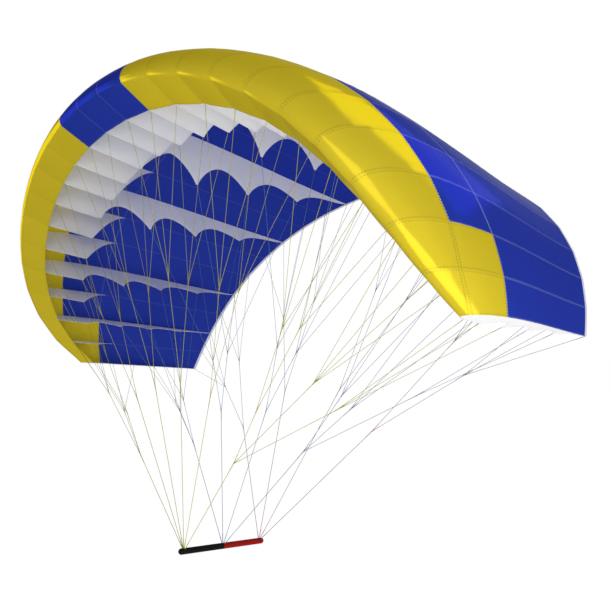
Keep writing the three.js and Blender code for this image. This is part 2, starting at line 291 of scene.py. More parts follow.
@dataclass(frozen=True)
class WingPlan:
    """The wing's driving sizes, the same as the solids', and its surface."""

    cells: int = 23
    half_arc: float = 1.65  # from the centre to a tip
    arch: tuple[float, float, float] = (0.867, 1.133, -0.482)  # terms of power 1, 3 and 5 of the slope
    station_spread: float = 0.154  # how far the ribs are spread from the centre
    centre_chord: float = 1.62
    nose_sweep: tuple[float, float] = (0.338, 0.246)  # terms of power 2 and 8
    tail_sweep: float = -0.325
    wing_height: float = 1.654
    nose_ahead: float = 0.66
    top: tuple[float, float] = (0.259, -0.172)  # factor of the height, and its change along the chord
    hem_along: float = 0.075
    hem_drop: float = 0.05
    nose_fold: float = 0.07  # curve parameter where the round nose ends
    # Distance of each seam from the centre nose, and its change to the tip.
    seams: tuple[tuple[float, float], tuple[float, float]] = ((0.306, 0.24), (0.6, 0.118))
    narrowest_front: float = 0.01
    tail_tape: float = 0.014
    billow: float = 0.012  # bulge of a cell as a share of its width
    billow_fade: float = 0.6  # share of the bulge that is lost at the trailing edge
    gap: float = 0.0003
    arc_steps: int = 2000
    probe: float = 0.02  # step to the points that a normal is worked out from

    @property
    def cell_width(self) -> float:
        """Mean width of a cell along the arch."""
        return self.half_arc * 2 / self.cells

    def cell(self, rib: Array) -> Array:
        """Give the number of the cell that each rib number lies in."""
        return np.clip(np.floor(rib), 0, self.cells - 1).astype(int)

    def slope(self, span: Array) -> Array:
        """Give the arch's slope in radians at some span shares."""
        linear, cubic, quintic = self.arch
        return linear * span + cubic * span**3 + quintic * span**5

    def stations(self, rib: Array) -> Stations:
        """Give the sections at some rib numbers.

        The arch's slope is an odd polynomial of the span share. Its cosine and sine, added up from
        the centre, give the distance across and down.

        Args:
            rib: Rib numbers, from 0 at the left tip; fractions lie between ribs.

        Returns:
            The sections there.
        """
        share = (rib - self.cells / 2) / (self.cells / 2)
        t = np.abs(share)
        span = t + self.station_spread * (t - t**3)
        grid = np.linspace(0.0, 1.0, self.arc_steps + 1)
        slopes = self.slope((grid[1:] + grid[:-1]) / 2)
        step = self.half_arc / self.arc_steps
        across, down = (np.append(0.0, np.cumsum(run(slopes) * step)) for run in (np.cos, np.sin))
        nose_y = self.nose_sweep[0] * span**2 + self.nose_sweep[1] * span**8
        chord = self.centre_chord + self.tail_sweep * span**2 - nose_y
        side = np.sign(share)
        x = side * np.interp(span, grid, across)
        z = self.wing_height - np.interp(span, grid, down)
        slope = self.slope(span)
        nose = np.stack([x, nose_y - self.nose_ahead, z], axis=-1)
        out = np.stack([side * np.sin(slope), np.zeros_like(slope), np.cos(slope)], axis=-1)
        return Stations(nose, out, chord, span, nose_y)

    def section(self, q: Array) -> tuple[Array, Array]:
        """Give chord and height shares of the section, as a curve round the nose.

        The square of q is the chord share; q is negative under the nose. The nose is round down to
        its fold, and the lip runs straight from there to the hem.

        Args:
            q: Curve parameters.

        Returns:
            Chord shares and height shares.
        """
        u = q * q
        steep = self.hem_drop / math.sqrt(self.hem_along)
        fold_u, fold_drop = self.nose_fold**2, steep * self.nose_fold
        straight = fold_drop + (self.hem_drop - fold_drop) * (u - fold_u) / (self.hem_along - fold_u)
        lip = np.where(q > -self.nose_fold, steep * q, -straight)
        base, slope = self.top
        return u, np.where(q < 0, lip, q * (1 - u) * (base + slope * u))

    def edges(self, at: Stations) -> Array:
        """Give the curve parameters of the cloth's edges, one column for each edge.

        A parameter is the root of a chord share. A seam's distance behind the centre nose changes
        with the square of the span share.

        Args:
            at: The sections.

        Returns:
            Parameters of the hem, the two seams, the tape's front edge and the trailing edge.
        """
        hem = np.full_like(at.chord, -math.sqrt(self.hem_along))
        backs = [centre + tip * at.span**2 - at.nose_y for centre, tip in self.seams]
        shares = [np.maximum(back, self.narrowest_front) / at.chord for back in backs]
        tape = 1 - self.tail_tape / at.chord
        return np.stack([hem, *(np.sqrt(s) for s in shares), np.sqrt(tape), np.ones_like(tape)], axis=1)

    def smooth(self, rib: Array, band: Band, share: Array) -> tuple[Array, Array]:
        """Give a band of the smooth wing, with no bulge between ribs.

        Args:
            rib: Rib numbers.
            band: Band of the skin.
            share: Shares of the band's width.

        Returns:
            Points and their chord shares, one row for each rib number.
        """
        at = self.stations(rib)
        edges = self.edges(at)
        start, stop = edges[:, band.value, None], edges[:, band.value + 1, None]
        u, v = self.section(start + (stop - start) * share)
        return at.place(u, v), u

    def cloth(self, rib: Array, band: Band, share: Array) -> ClothGrid:
        """Give the inner face of a band of skin.

        The skin runs straight between neighbouring ribs and bulges outwards as a parabola, less
        towards the trailing edge. Its normals are the cross products of two steps on the smooth wing.

        Args:
            rib: Rib numbers, rising.
            band: Band of the skin.
            share: Shares of the band's width, rising.

        Returns:
            The grid of points with what the finish needs to know about each.
        """
        cell = self.cell(rib)
        part = (rib - cell)[:, None]
        (left, left_u), (right, right_u) = (self.smooth(end, band, share) for end in (cell, cell + 1))
        u = left_u * (1 - part) + right_u * part
        noses = [self.stations(end).nose for end in (cell, cell + 1)]
        width = np.linalg.norm(noses[1] - noses[0], axis=1)[:, None]
        bulge = self.billow * width * (1 - self.billow_fade * u) * 4 * part * (1 - part)
        before, after = (np.clip(rib + step, 0, self.cells) for step in (-self.probe, self.probe))
        across = self.smooth(after, band, share)[0] - self.smooth(before, band, share)[0]
        half = self.probe / 2
        along = self.smooth(rib, band, share + half)[0] - self.smooth(rib, band, share - half)[0]
        normal = unit(np.cross(across, along))
        point = left * (1 - part[..., None]) + right * part[..., None]
        point = point + normal * (bulge + self.gap)[..., None]
        rib_gap = np.linalg.norm(right - left, axis=-1) * np.minimum(part, 1 - part)
        return ClothGrid(rib, point, normal, rib_gap)


def make_mesh(
    name: str,
    points: Array,
    faces: Sequence[Array],
    uv: Array | None = None,
    values: dict[str, Array] | None = None,
    flat: int = 0,
) -> bpy.types.Object:
    """Make a smooth-shaded mesh object at the origin.

    Args:
        name: Name of the piece.
        points: Points, one row each.
        faces: Arrays of point numbers, one row for each face.
        uv: Two coordinates for each point.
        values: A number for each point, by name.
        flat: How many faces at the end of the list are shaded flat.

    Returns:
        The object, linked to the scene.
    """
    mesh = bpy.data.meshes.new(name)
    loops = np.concatenate([f.ravel() for f in faces]).astype(np.int32)
    sizes = np.concatenate([np.full(len(f), f.shape[1]) for f in faces])
    starts = np.concatenate([[0], np.cumsum(sizes)[:-1]]).astype(np.int32)
    mesh.vertices.add(len(points))
    mesh.vertices.foreach_set("co", points.astype(np.float32).ravel())
    mesh.loops.add(len(loops))
    mesh.loops.foreach_set("vertex_index", loops)
    mesh.polygons.add(len(sizes))
    mesh.polygons.foreach_set("loop_start", starts)
    mesh.polygons.foreach_set("use_smooth", np.arange(len(sizes)) < len(sizes) - flat)
    mesh.update(calc_edges=True)
    if uv is not None:
        layer = mesh.uv_layers.new(name=UV_NAME)
        layer.uv.foreach_set("vector", uv[loops].astype(np.float32).ravel())
    for key, numbers in (values or {}).items():
        attribute = mesh.attributes.new(key, "FLOAT", "POINT")
        attribute.data.foreach_set("value", numbers.astype(np.float32).ravel())
    mesh.validate()
    piece = bpy.data.objects.new(name, mesh)
    bpy.context.scene.collection.objects.link(piece)
    return piece


def make_sheet(
    name: str, inner: Array, outer: Array, uv: Array, values: dict[str, Array | float]
) -> bpy.types.Object:
    """Make a thin closed sheet: two grids of points, with a flat-shaded rim between them.

    Args:
        name: Name of the piece.
        inner: Points of the inner face.
        outer: Points of the outer face.
        uv: Two coordinates for each point of a face.
        values: By name, one number for all, a grid for both faces, or a grid for each face.

    Returns:
        The object, linked to the scene.
    """
    points = np.stack([inner, outer])
    ids = np.arange(points[..., 0].size).reshape(points.shape[:-1])
    quads = np.stack([ids[:, :-1, :-1], ids[:, 1:, :-1], ids[:, 1:, 1:], ids[:, :-1, 1:]], axis=-1)
    low, high = (np.concatenate([i[:-1, 0], i[-1, :-1], i[:0:-1, -1], i[0, :0:-1]]) for i in ids)
    rim = np.stack([low, np.roll(low, -1), np.roll(high, -1), high], axis=1)
    faces = [quads[1].reshape(-1, 4), quads[0].reshape(-1, 4)[:, ::-1], rim]
    numbers = {key: np.broadcast_to(value, ids.shape) for key, value in values.items()}
    both = np.tile(uv.reshape(-1, 2), (2, 1))
    return make_mesh(name, points.reshape(-1, 3), faces, both, numbers, len(rim))


def tubes(
    starts: Array, ends: Array, stops: Array, radii: Array, sides: int, aside: Point, first: int = 0
) -> tuple[Array, Array, list[Array]]:
    """Work out round tubes with closed ends.

    Each tube is a row of rings; a ring is a circle square to the run, of its own radius.

    Args:
        starts: Start of each tube.
        ends: End of each tube.
        stops: Distances of the rings from the start, one row for each tube.
        radii: Radii of the rings, one row for each tube.
        sides: Sides of a ring.
        aside: Direction that no tube runs in; the first side of a ring lies square to it.
        first: Number of the first point.

    Returns:
        Points, their coordinates on the tube, and faces.
    """
    run = unit(ends - starts)
    side = unit(np.cross(run, np.array(aside)))
    other = np.cross(run, side)
    angle = np.arange(sides) * TURN / sides
    circle = np.cos(angle)[:, None] * side[:, None] + np.sin(angle)[:, None] * other[:, None]
    centre = starts[:, None] + run[:, None] * stops[..., None]
    points = centre[:, :, None] + circle[:, None] * radii[..., None, None]
    shape = (*stops.shape, sides)
    uv = np.stack([np.broadcast_to(angle / TURN, shape), np.broadcast_to(stops[..., None], shape)], axis=-1)
    ids = np.arange(math.prod(shape)).reshape(shape) + first
    after = np.roll(ids, -1, axis=2)
    walls = np.stack([ids[:, :-1], after[:, :-1], after[:, 1:], ids[:, 1:]], axis=-1)
    faces = [walls.reshape(-1, 4), ids[:, 0, ::-1], ids[:, -1]]
    return points.reshape(-1, 3), uv.reshape(-1, 2), faces


def settle(piece: bpy.types.Object, node: str, slot: Slot, finishes: Finishes) -> None:
    """Let a piece stand for a solid, ride with it and take its finish.

    Args:
        piece: The piece.
        node: Name of the solid.
        slot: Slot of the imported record.
        finishes: Materials by slot.
    """
    piece.data.materials.append(finishes[slot])
    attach(piece, BODY)
    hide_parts(node)


class NodeTree:
    """Short calls to add and join shader nodes."""

    def __init__(self, tree: bpy.types.NodeTree) -> None:
        """Keep the tree of a material, a world or a group, and empty it."""
        self.tree = tree
        tree.nodes.clear()

    def add(self, kind: str, inputs: Inputs | None = None, **settings: object) -> bpy.types.Node:
        """Add a node.

        Args:
            kind: Node type.
            inputs: Values or output sockets for its inputs, by name or place.
            settings: Properties of the node.

        Returns:
            The node.
        """
        node = self.tree.nodes.new(kind)
        for key, value in settings.items():
            setattr(node, key, value)
        for key, value in (inputs or {}).items():
            if isinstance(value, bpy.types.NodeSocket):
                self.tree.links.new(value, node.inputs[key])
            else:
                node.inputs[key].default_value = value
        return node

    def math(self, operation: str, *values: object, clamp: bool = False) -> bpy.types.NodeSocket:
        """Add a math node and give its output.

        Args:
            operation: Name of the operation.
            values: Numbers or sockets.
            clamp: Keep the result between 0 and 1.

        Returns:
            The output socket.
        """
        inputs = dict(enumerate(values))
        return self.add("ShaderNodeMath", inputs, operation=operation, use_clamp=clamp).outputs[0]

    def mix(self, share: object, low: object, high: object) -> bpy.types.NodeSocket:
        """Mix two colours, so much of the second one, and give the output."""
        return self.add("ShaderNodeMix", {0: share, 6: low, 7: high}, data_type="RGBA").outputs[2]

    def split(self, vector: bpy.types.NodeSocket) -> Sequence[bpy.types.NodeSocket]:
        """Give the three parts of a vector."""
        return self.add("ShaderNodeSeparateXYZ", {0: vector}).outputs

    def place(self) -> bpy.types.NodeSocket:
        """Give the place on the object."""
        return self.add("ShaderNodeTexCoord").outputs["Object"]

    def uv(self) -> bpy.types.NodeSocket:
        """Give the place on the flat cloth or along the line."""
        return self.add("ShaderNodeUVMap", uv_map=UV_NAME).outputs[0]

    def group(self, tree: bpy.types.NodeTree, inputs: Inputs) -> Sequence[bpy.types.NodeSocket]:
        """Add a node group with these inputs and give its outputs."""
        return self.add("ShaderNodeGroup", inputs, node_tree=tree).outputs

    def relief(self, height: bpy.types.NodeSocket, strength: float) -> bpy.types.NodeSocket:
        """Give the normals of a relief whose height is in metres."""
        inputs = {"Height": height, "Strength": strength, "Distance": 1.0}
        return self.add("ShaderNodeBump", inputs).outputs[0]

    def surface(self, inputs: Inputs) -> None:
        """Close a material with a principled shader of these inputs."""
        shader = self.add("ShaderNodeBsdfPrincipled", inputs)
        self.add("ShaderNodeOutputMaterial", {"Surface": shader.outputs[0]})


def new_material(name: str) -> tuple[bpy.types.Material, NodeTree]:
    """Make an empty material.

    Args:
        name: Name of the material.

    Returns:
        The material and its tree.
    """
    material = bpy.data.materials.new(name)
    material.use_nodes = True
    return material, NodeTree(material.node_tree)


class FinishMaker:
    """Makes one procedural material for each slot, with node groups for the effects they share."""

    RIP_SHARPNESS = 5.0
    FINE_THREADS = 4
    FINE_HEIGHT = 0.25
    DASH_EDGE = 2.5
    DASH_SLOPE = 8.0
    ROW_EDGE = 1.5
    FOLD_ROOM = 1.6
    FOLD_EDGE = 0.3
    GRAIN_SCALE = 17.0
    GRAIN_SHARE = 0.3
    BROAD_DETAIL = 3.0
    GRAIN_DETAIL = 2.0
    BRAID_STRANDS = 2.0

    def __init__(self) -> None:
        """Make each group once."""
        seam = ("Along", "Across", "Pitch", "Offset", "Width")
        self.ripstop = self._group("Ripstop", ("Vector", "Pitch"), ("Height", "Mask"), self._ripstop)
        self.stitching = self._group("Stitching", seam, ("Thread", "Fold"), self._stitching)
        self.mottle = self._group("Mottle", ("Vector", "Scale"), ("Tone",), self._mottle)
        self.braid = self._group("Braid", ("Vector", "Pitch"), ("Mask",), self._braid)

    def every(self) -> Finishes:
        """Make every material.

        Returns:
            The materials by slot.
        """
        made = {slot: self.cloth(slot, finish) for slot, finish in CLOTH_FINISHES.items()}
        made |= {slot: self.grip(slot, finish) for slot, finish in GRIP_FINISHES.items()}
        return made | {slot: self.line(slot, finish) for slot, finish in LINE_FINISHES.items()}

    @staticmethod
    def _group(
        name: str,
        inputs: Sequence[str],
        outputs: Sequence[str],
        formula: Callable[[NodeTree, Wires], Wires],
    ) -> bpy.types.NodeTree:
        """Make a node group.

        Args:
            name: Name of the group.
            inputs: Names of its inputs: numbers, but a vector where the name is Vector.
            outputs: Names of its outputs, all numbers.
            formula: Adds the nodes between them, and gives the output sockets by name.

        Returns:
            The group.
        """
        tree = bpy.data.node_groups.new(name, "ShaderNodeTree")
        for key in inputs:
            kind = "NodeSocketVector" if key == "Vector" else "NodeSocketFloat"
            tree.interface.new_socket(key, in_out="INPUT", socket_type=kind)
        for key in outputs:
            tree.interface.new_socket(key, in_out="OUTPUT", socket_type="NodeSocketFloat")
        nodes = NodeTree(tree)
        given = {socket.name: socket for socket in nodes.add("NodeGroupInput").outputs}
        nodes.add("NodeGroupOutput", formula(nodes, given))
        return tree

    def _ripstop(self, nodes: NodeTree, given: Wires) -> Wires:
        """Work out the ripstop weave: thick threads on a square grid over a fine plain weave.

        The thick threads are saw-tooth ridges both ways, and the fine weave is a product of sines.

        Args:
            nodes: Tree of the group.
            given: Its inputs.

        Returns:
            A height, and a mask of the thick threads.
        """
        op = nodes.math
        ridges, waves = [], []
        for part in nodes.split(given["Vector"])[:2]:
            turn = op("DIVIDE", part, given["Pitch"])
            saw = op("ABSOLUTE", op("SUBTRACT", op("FRACT", turn), 0.5))
            ridges.append(op("SUBTRACT", 1.0, op("MULTIPLY", saw, self.RIP_SHARPNESS), clamp=True))
            waves.append(op("SINE", op("MULTIPLY", turn, self.FINE_THREADS * TURN)))
        mask = op("MAXIMUM", *ridges)
        fine = op("MULTIPLY", op("MULTIPLY", *waves), self.FINE_HEIGHT)
        return {"Height": op("ADD", mask, fine), "Mask": mask}

    def _stitching(self, nodes: NodeTree, given: Wires) -> Wires:
        """Work out a sewn seam: a row of dashes on each side of it, over double cloth.

        A dash is a triangle wave along the seam, cut off at 0 and 1. A row fades with the distance
        from its middle, and the double cloth ends in a short ramp outside the row.

        Args:
            nodes: Tree of the group.
            given: Its inputs.

        Returns:
            A mask of the thread, and a mask of the double cloth under it.
        """
        op = nodes.math
        turn = op("FRACT", op("DIVIDE", given["Along"], given["Pitch"]))
        wave = op("ABSOLUTE", op("SUBTRACT", turn, 0.5))
        dash = op("SUBTRACT", self.DASH_EDGE, op("MULTIPLY", wave, self.DASH_SLOPE), clamp=True)
        off = op("ABSOLUTE", op("SUBTRACT", given["Across"], given["Offset"]))
        row = op("SUBTRACT", self.ROW_EDGE, op("DIVIDE", off, given["Width"]), clamp=True)
        room = op("SUBTRACT", op("MULTIPLY", given["Offset"], self.FOLD_ROOM), given["Across"])
        fold = op("DIVIDE", room, op("MULTIPLY", given["Offset"], self.FOLD_EDGE), clamp=True)
        return {"Thread": op("MULTIPLY", dash, row), "Fold": fold}

    def _mottle(self, nodes: NodeTree, given: Wires) -> Wires:
        """Work out an uneven tone from 0 to 1: the sum of a broad noise and a finer one.

        Args:
            nodes: Tree of the group.
            given: Its inputs.

        Returns:
            The tone.
        """
        fine = nodes.math("MULTIPLY", given["Scale"], self.GRAIN_SCALE)
        tones = []
        for scale, detail in ((given["Scale"], self.BROAD_DETAIL), (fine, self.GRAIN_DETAIL)):
            inputs = {"Vector": given["Vector"], "Scale": scale, "Detail": detail}
            tones.append(nodes.add("ShaderNodeTexNoise", inputs).outputs[0])
        grain = nodes.math("MULTIPLY", tones[1], self.GRAIN_SHARE)
        return {"Tone": nodes.math("MULTIPLY_ADD", tones[0], 1 - self.GRAIN_SHARE, grain)}

    def _braid(self, nodes: NodeTree, given: Wires) -> Wires:
        """Work out a braid: two sets of strands that wind round a line in opposite directions.

        Args:
            nodes: Tree of the group.
            given: Its inputs.

        Returns:
            A mask of the pale strand, the higher of two sines.
        """
        op = nodes.math
        parts = nodes.split(given["Vector"])
        around = op("MULTIPLY", parts[0], self.BRAID_STRANDS)
        along = op("DIVIDE", parts[1], given["Pitch"])
        turns = [op(way, around, along) for way in ("ADD", "SUBTRACT")]
        waves = [op("SINE", op("MULTIPLY", turn, TURN)) for turn in turns]
        return {"Mask": op("MAXIMUM", *waves, clamp=True)}

    def cloth(self, slot: Slot, finish: ClothFinish) -> bpy.types.Material:
        """Make a coated cloth with its weave, seams and stitching.

        Args:
            slot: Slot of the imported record, which names the material.
            finish: The finish.

        Returns:
            The material.
        """
        material, nodes = new_material(slot.value)
        op = nodes.math
        uv = nodes.uv()
        span, chord, _ = nodes.split(uv)
        rib_gap, seam_gap, cell, sewn = (
            nodes.add("ShaderNodeAttribute", attribute_name=name).outputs["Fac"]
            for name in (RIB_GAP, SEAM_GAP, CELL_TONE, SEWN)
        )
        weave = nodes.group(self.ripstop, {"Vector": uv, "Pitch": finish.rip_pitch})
        tone = nodes.group(self.mottle, {"Vector": nodes.place(), "Scale": finish.cloud})["Tone"]
        rows = {"Pitch": finish.stitch_pitch, "Offset": finish.stitch_offset, "Width": finish.stitch_width}
        ribs = nodes.group(self.stitching, {"Along": chord, "Across": rib_gap, **rows})
        seams = nodes.group(self.stitching, {"Along": span, "Across": seam_gap, **rows})
        rib_thread = op("MULTIPLY", ribs["Thread"], finish.rib_thread)
        thread = op("MAXIMUM", rib_thread, op("MULTIPLY", seams["Thread"], finish.seam_thread))
        fold = op("MAXIMUM", ribs["Fold"], seams["Fold"])
        share = op("MULTIPLY", cell, finish.cell_share)
        share = op("MULTIPLY_ADD", tone, 1 - finish.cell_share, share, clamp=True)
        color = nodes.mix(share, finish.deep, finish.pale)
        shown = ((weave["Mask"], finish.weave_thread), (fold, finish.weave_thread), (thread, sewn))
        for mask, amount in shown:
            color = nodes.mix(op("MULTIPLY", mask, amount), color, finish.thread)
        rough = op("MULTIPLY_ADD", tone, finish.uneven, finish.roughness - finish.uneven / 2)
        height = op("MULTIPLY", fold, finish.fold_height)
        height = op("MULTIPLY_ADD", weave["Height"], finish.weave_height, height)
        height = op("MULTIPLY_ADD", thread, finish.thread_height, height)
        nodes.surface(
            {
                "Base Color": color,
                "Roughness": op("MULTIPLY_ADD", thread, finish.thread_rough, rough, clamp=True),
                "Metallic": finish.satin,
                "Specular IOR Level": finish.specular,
                "Specular Tint": finish.rim_tint,
                "Normal": nodes.relief(height, finish.relief),
            }
        )
        return material

    def grip(self, slot: Slot, finish: GripFinish) -> bpy.types.Material:
        """Make a moulded grip with a pebbled grain and paler worn places.

        Args:
            slot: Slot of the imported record, which names the material.
            finish: The finish.

        Returns:
            The material.
        """
        material, nodes = new_material(slot.value)
        op = nodes.math
        place = nodes.place()
        tone = nodes.group(self.mottle, {"Vector": place, "Scale": finish.cloud})["Tone"]
        worn = op("MULTIPLY", op("SUBTRACT", tone, finish.wear_from), finish.wear_gain, clamp=True)
        rough = op("MULTIPLY_ADD", tone, finish.uneven, finish.roughness - finish.uneven / 2, clamp=True)
        grain = nodes.add("ShaderNodeTexVoronoi", {"Vector": place, "Scale": 1 / finish.pebble})
        height = op("MULTIPLY", grain.outputs["Distance"], -finish.pebble_height)
        nodes.surface(
            {
                "Base Color": nodes.mix(worn, finish.base, finish.worn),
                "Roughness": rough,
                "Specular IOR Level": finish.specular,
                "Normal": nodes.relief(height, finish.relief),
            }
        )
        return material

    def line(self, slot: Slot, finish: LineFinish) -> bpy.types.Material:
        """Make a braided line.

        Args:
            slot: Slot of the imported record, which names the material.
            finish: The finish.

        Returns:
            The material.
        """
        material, nodes = new_material(slot.value)
        op = nodes.math
        mask = nodes.group(self.braid, {"Vector": nodes.uv(), "Pitch": finish.pitch})["Mask"]
        share = op("MULTIPLY", mask, finish.fleck_share)
        nodes.surface(
            {
                "Base Color": nodes.mix(share, finish.base, finish.fleck),
                "Roughness": op("MULTIPLY_ADD", mask, finish.fleck_rough, finish.roughness, clamp=True),
                "Specular IOR Level": finish.specular,
                "Normal": nodes.relief(op("MULTIPLY", mask, finish.height), finish.relief),
            }
        )
        return material


@dataclass(frozen=True)
class PanelCut:
    """One panel of the skin."""

    node: str
    band: Band
    first: int  # number of its first rib
    last: int  # number of its last rib
    slot: Slot


@dataclass(frozen=True)
class Skin:
    """The canopy's skin: panels of coated cloth in three bands, and the tape on its tail."""

    plan: WingPlan
    finishes: Finishes
    span_steps: int = 12  # across one cell
    chord_steps: tuple[int, ...] = (60, 36, 100, 3)  # along each band
    length_points: int = 60
    thickness: float = 0.0008
    lift: float = 0.0004  # of the drawn inner face above the solid's
    inside_thread: float = 0.1  # how much of the stitching shows on the inner face
    under_thread: float = 0.3  # the same under the nose
    edge_gap: float = 0.00006
    guard: float = 0.0008  # width of the step next to each edge and each rib
    smooth_nose: float = 0.08  # width behind the nose over which the creases set in
    gather: float = 0.0007  # height of the gathers along the rib seams
    gather_reach: float = 0.022
    gather_pitch: float = 0.052
    # Swing in radians and wave length of the shift along the span.
    gather_wander: tuple[tuple[float, float], ...] = ((2.6, 0.31), (1.7, 0.83))
    slack: float = 0.0012  # height of the broad soft waves
    # Slants along the span and the chord, wave length and start of each wave.
    slack_waves: tuple[tuple[float, ...], ...] = ((1.7, 0.6, 0.61, 1.3), (0.5, -1.9, 0.83, 0.0))
    slack_reach: float = 0.035
    still: float = 0.03  # width along the panel's own edges where the creases die out
    tone_seed: int = 7

    PANELS = (
        PanelCut("front_left", Band.FRONT, 0, 10, Slot.YELLOW),
        PanelCut("front_centre", Band.FRONT, 10, 13, Slot.BLUE),
        PanelCut("front_right", Band.FRONT, 13, 23, Slot.YELLOW),
        PanelCut("middle_tip_left", Band.MIDDLE, 0, 2, Slot.YELLOW),
        PanelCut("middle_centre", Band.MIDDLE, 2, 21, Slot.BLUE),
        PanelCut("middle_tip_right", Band.MIDDLE, 21, 23, Slot.YELLOW),
        PanelCut("rear", Band.REAR, 0, 23, Slot.BLUE),
        PanelCut("tail_tape", Band.TAPE, 0, 23, Slot.TAPE),
    )

    def build(self) -> None:
        """Build every panel."""
        for cut in self.PANELS:
            self._panel(cut)

    def _panel(self, cut: PanelCut) -> None:
        """Build one panel as a thin closed sheet, smooth at the nose and creased behind it.

        Args:
            cut: The panel.
        """
        grid = self._grid(cut)
        span, chord = grid.lengths()
        seam = np.minimum(chord, chord[:, -1:] - chord)
        foremost = np.argmin(grid.point[..., 1], axis=1)[:, None]
        behind = chord - np.take_along_axis(chord, foremost, axis=1)
        loose = np.clip(seam / self.still, 0, 1)
        if cut.band is Band.FRONT:
            loose = loose * np.clip(behind / self.smooth_nose, 0, 1)
        fold = self._creases(grid.rib[:, None] * self.plan.cell_width, chord, grid.rib_gap) * loose
        inner = grid.point + grid.normal * (self.lift + fold)[..., None]
        outer = inner + grid.normal * self.thickness
        tones = np.random.default_rng(self.tone_seed).random(self.plan.cells)
        sewn = np.where(behind < 0, self.under_thread, 1.0)
        values = {
            RIB_GAP: grid.rib_gap,
            SEAM_GAP: seam,
            CELL_TONE: tones[self.plan.cell(grid.rib)][:, None],
            SEWN: np.stack([np.full_like(sewn, self.inside_thread), sewn]),
        }
        piece = make_sheet(f"cloth_{cut.node}", inner, outer, np.stack([span, chord], axis=-1), values)
        settle(piece, cut.node, cut.slot, self.finishes)
        flat = (float(span[-1].max()), float(chord[:, -1].max()))
        area = min(grid.area(), flat[0] * flat[1])
        LOG.info("%s: cut %.3f x %.3f m, %.3f m2", cut.node, *flat, area)

    def _grid(self, cut: PanelCut) -> ClothGrid:
        """Give the panel's grid, its edges half a gap short of its neighbours.

        The steps are even, with one narrow step more at each edge and beside each rib.

        Args:
            cut: The panel.

        Returns:
            The grid.
        """
        half, guard, cell = self.edge_gap / 2, self.guard, self.plan.cell_width
        inner = np.linspace(0, 1, self.span_steps + 1)[1:-1]
        part = np.concatenate([[0.0, guard / cell], inner, [1 - guard / cell]])
        rib = np.append((np.arange(cut.first, cut.last)[:, None] + part).ravel(), float(cut.last))
        rib[0] += half / cell if cut.first > 0 else 0.0
        rib[-1] -= half / cell if cut.last < self.plan.cells else 0.0
        middle = np.array([(cut.first + cut.last) / 2])
        ends = self.plan.smooth(middle, cut.band, np.linspace(0, 1, self.length_points))[0][0]
        length = float(np.linalg.norm(np.diff(ends, axis=0), axis=1).sum())
        steps = self.chord_steps[cut.band.value]
        share = np.linspace(half / length, 1 - half / length, steps + 1)
        share = np.insert(share, [1, steps], [share[0] + guard / length, share[-1] - guard / length])
        return self.plan.cloth(rib, cut.band, share)

    def _creases(self, span: Array, chord: Array, rib_gap: Array) -> Array:
        """Give the height of the creases.

        Gathers are a sine along the rib seam, half a wave up and never down, that fades with the
        distance from the seam. Broad waves are a product of two slanting sines, which fades to
        nothing at the ribs.

        Args:
            span: Distance along the span.
            chord: Distance along the chord.
            rib_gap: Distance to the nearest rib.

        Returns:
            Heights.
        """
        wander = sum(swing * np.sin(TURN * span / length) for swing, length in self.gather_wander)
        ripple = 0.5 + 0.5 * np.sin(TURN * chord / self.gather_pitch + wander)
        gather = self.gather * np.exp(-rib_gap / self.gather_reach) * ripple
        first, second = (
            np.sin(TURN * (across * span + along * chord) / length + start)
            for across, along, length, start in self.slack_waves
        )
        rise = np.clip(rib_gap / self.slack_reach, 0, 1) ** 2
        return gather + self.slack * (0.5 + 0.5 * first * second) * rise


